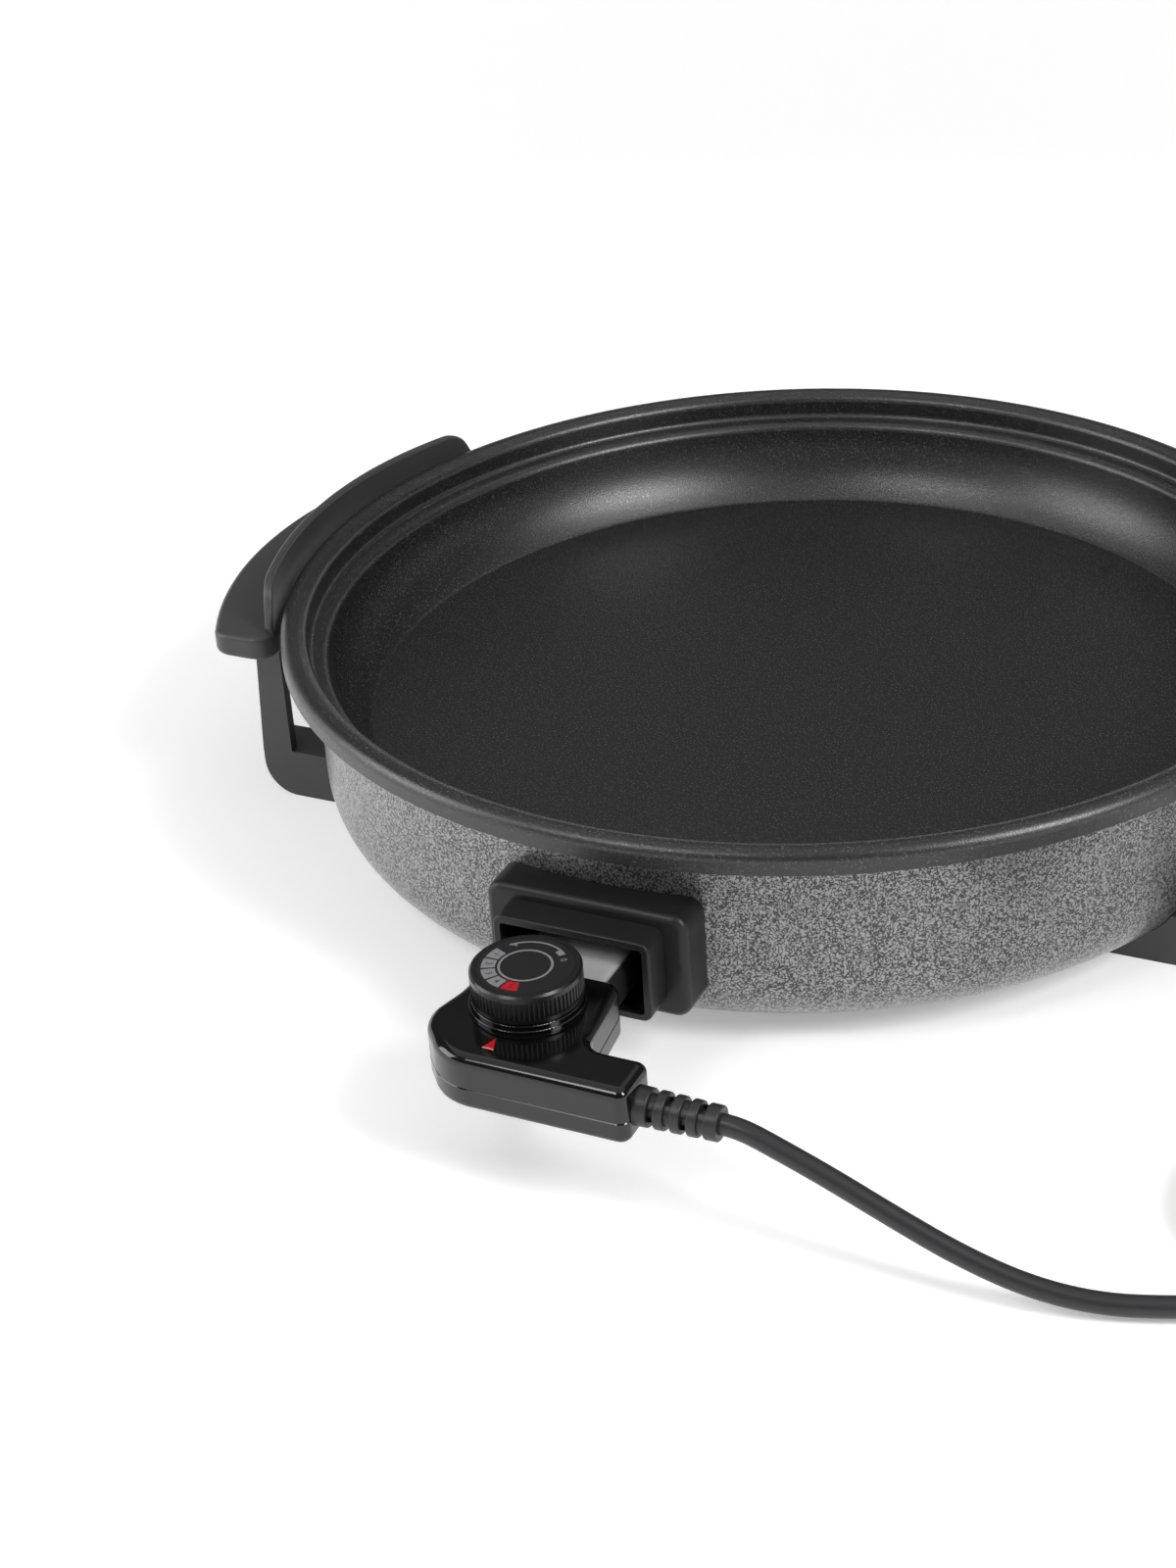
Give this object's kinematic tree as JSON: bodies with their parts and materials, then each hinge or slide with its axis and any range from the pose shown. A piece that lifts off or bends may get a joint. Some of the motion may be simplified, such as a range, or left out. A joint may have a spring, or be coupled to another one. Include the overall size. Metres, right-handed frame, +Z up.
{
  "type": "electric party pan",
  "caption": "Round deep electric frying pan with a grey shell, two guarded side handles that end in feet, and a plug-in dial thermostat on a mains lead.",
  "frame": {"origin": "centre of the cooking surface, on the pan's axis", "axes": "+Z up along the pan's axis; -Y towards the socket and the control; handles on -X and +X"},
  "size_m": [0.5665, 0.4885, 0.0975],
  "materials": {
    "non_stick": "dark grey non-stick coating, fine speckle, satin",
    "shell_lacquer": "grey hammer-finish lacquer with dark flecks",
    "phenolic": "black moulded phenolic, satin",
    "case_gloss": "black moulded plastic, glossy",
    "knob_black": "black moulded plastic, satin",
    "dial_print": "black face with light grey scale marks and one red mark",
    "chrome": "bright plated sheet",
    "steel": "bright zinc-plated steel",
    "aluminium": "mill finish sheet",
    "brass": "plain brass",
    "ceramic": "off-white steatite",
    "lead_sheath": "black flexible sheath, satin",
    "plug_body": "black moulded plug, satin",
    "lamp_glass": "clear neon bulb",
    "lens_red": "translucent red"
  },
  "bodies": {
    "pan": {"cooking_pan": "non_stick", "outer_shell": "shell_lacquer", "heating_element": "steel", "pan_studs": "steel", "element_clamps": "steel", "clamp_nuts": "steel", "base_nuts": "steel", "heat_spreader": "aluminium", "shell_spacers": "steel", "socket_housing": "phenolic", "terminal_plate": "steel", "socket_screws": "steel", "element_bushes": "ceramic", "terminal_pins": "steel", "earth_strip": "brass", "sensor_well": "brass", "well_strap": "steel", "handle_left": "phenolic", "handle_right": "phenolic", "foot_screws": "steel", "foot_nuts": "steel"},
    "control": {"case_bottom": "case_gloss", "case_top": "case_gloss", "case_screws": "steel", "plug_sleeve": "chrome", "contact_carrier": "ceramic", "contact_tubes": "brass", "sensor_probe": "steel", "thermostat_frame": "steel", "stack_insulators": "ceramic", "bimetal_blade": "brass", "contact_blade": "brass", "terminal_block": "phenolic", "lead_end": "lead_sheath", "clamp_bar": "phenolic", "clamp_screws": "steel", "pilot_lamp": "lamp_glass", "pilot_lens": "lens_red", "strain_relief": "lead_sheath", "supply_cord": "lead_sheath", "cord_coil": "lead_sheath", "cord_tie": "lead_sheath", "mains_plug": "plug_body", "plug_pins": "brass", "plug_earth_clips": "brass"},
    "knob": {"knob": "knob_black", "knob_dial": "dial_print", "knob_spindle": "steel"}
  },
  "joints": [
    {"name": "control_pull", "type": "slide", "parent": "pan", "child": "control", "axis": [0, -1, 0], "range_m": [0, 0.095]},
    {"name": "knob_turn", "type": "hinge", "parent": "control", "child": "knob", "pos_m": [0, -0.2475, 0.0143], "axis": [0, 0, 1], "range_deg": [0, 235]}
  ]
}
